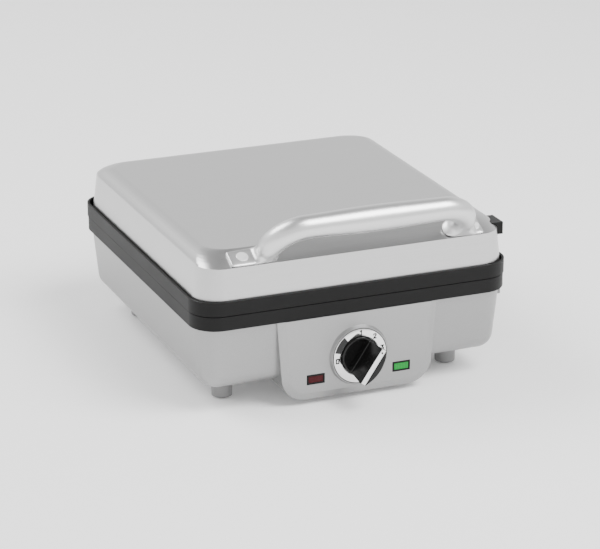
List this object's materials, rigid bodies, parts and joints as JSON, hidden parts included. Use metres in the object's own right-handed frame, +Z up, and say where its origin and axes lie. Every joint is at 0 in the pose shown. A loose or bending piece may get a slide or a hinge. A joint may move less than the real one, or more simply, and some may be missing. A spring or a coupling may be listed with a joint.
{
  "type": "waffle maker",
  "caption": "Low square waffle maker with a hinged steel lid, arched front handle, removable grids, and a front panel with a thermostat dial and lamps.",
  "frame": {"origin": "on the table, under the middle of the whole outline", "axes": "+X to the right as seen from the front, +Y from the front to the hinge, +Z up"},
  "size_m": [0.28, 0.3458, 0.17],
  "materials": {
    "lid_steel": "satin",
    "base_silver": "satin",
    "rim_dark": "satin",
    "panel_silver": "satin",
    "bright_chrome": "polished",
    "gloss_black": "gloss",
    "lamp_red": "gloss",
    "lamp_green": "gloss",
    "bulb_glass": "clear",
    "plate_coating": "coated",
    "pan_steel": "satin",
    "heater_sheath": "oxidised",
    "ceramic": "matt",
    "screw_steel": "zinc plated",
    "handle_metal": "satin polished",
    "grey_plastic": "satin",
    "black_plastic": "satin",
    "pad_rubber": "matt",
    "cover_steel": "plated"
  },
  "bodies": {
    "base": {"base_housing": "base_silver", "base_rim": "rim_dark", "base_cover": "cover_steel", "cover_screws": "screw_steel", "feet": "grey_plastic", "foot_pads": "pad_rubber", "control_panel": "panel_silver", "dial_ring": "bright_chrome", "lamp_frames": "black_plastic", "lamp_lens_red": "lamp_red", "lamp_lens_green": "lamp_green", "lamp_bulbs": "bulb_glass", "thermostat": "ceramic", "lower_plate": "plate_coating", "lower_pan": "pan_steel", "lower_heater": "heater_sheath", "lower_heater_clips": "pan_steel", "lower_bushings": "ceramic", "lower_plate_clips": "screw_steel", "lower_clip_screws": "screw_steel", "lower_release_pin": "screw_steel", "lower_release_spring": "screw_steel", "terminal_block": "ceramic", "thermal_fuse": "ceramic", "cord_gland": "black_plastic", "base_hinge_leaves": "rim_dark", "hinge_pins": "screw_steel", "base_hinge_screws": "screw_steel"},
    "lid": {"lid_cover": "lid_steel", "lid_rim": "rim_dark", "handle": "handle_metal", "handle_rivets": "bright_chrome", "rivet_washers": "screw_steel", "upper_plate": "plate_coating", "upper_pan": "pan_steel", "upper_heater": "heater_sheath", "upper_heater_clips": "pan_steel", "upper_bushings": "ceramic", "upper_plate_clips": "screw_steel", "upper_clip_screws": "screw_steel", "upper_release_pin": "screw_steel", "upper_release_spring": "screw_steel", "lid_hinge_leaves": "rim_dark", "lid_hinge_screws": "screw_steel"},
    "knob": {"knob": "gloss_black", "knob_inlay": "bright_chrome", "thermostat_shaft": "screw_steel"},
    "upper_release": {"upper_release": "black_plastic"},
    "lower_release": {"lower_release": "grey_plastic"}
  },
  "joints": [
    {"name": "lid_hinge", "type": "hinge", "parent": "base", "child": "lid", "pos_m": [0, 0.16637, 0.0885], "axis": [-1, 0, 0], "range_deg": [0, 100]},
    {"name": "knob_turn", "type": "hinge", "parent": "base", "child": "knob", "pos_m": [-0.0003, -0.14188, 0.039], "axis": [0, 1, 0], "range_deg": [-130, 117]},
    {"name": "upper_release_press", "type": "hinge", "parent": "lid", "child": "upper_release", "pos_m": [0.1295, -0.09963, 0.11875], "axis": [0, 0, -1], "range_deg": [0, 8], "stiffness_Nm_per_rad": 0.4, "springref_deg": -5.73},
    {"name": "lower_release_press", "type": "hinge", "parent": "base", "child": "lower_release", "pos_m": [0.1295, -0.09963, 0.071], "axis": [0, 0, -1], "range_deg": [0, 8], "stiffness_Nm_per_rad": 0.4, "springref_deg": -5.73}
  ]
}
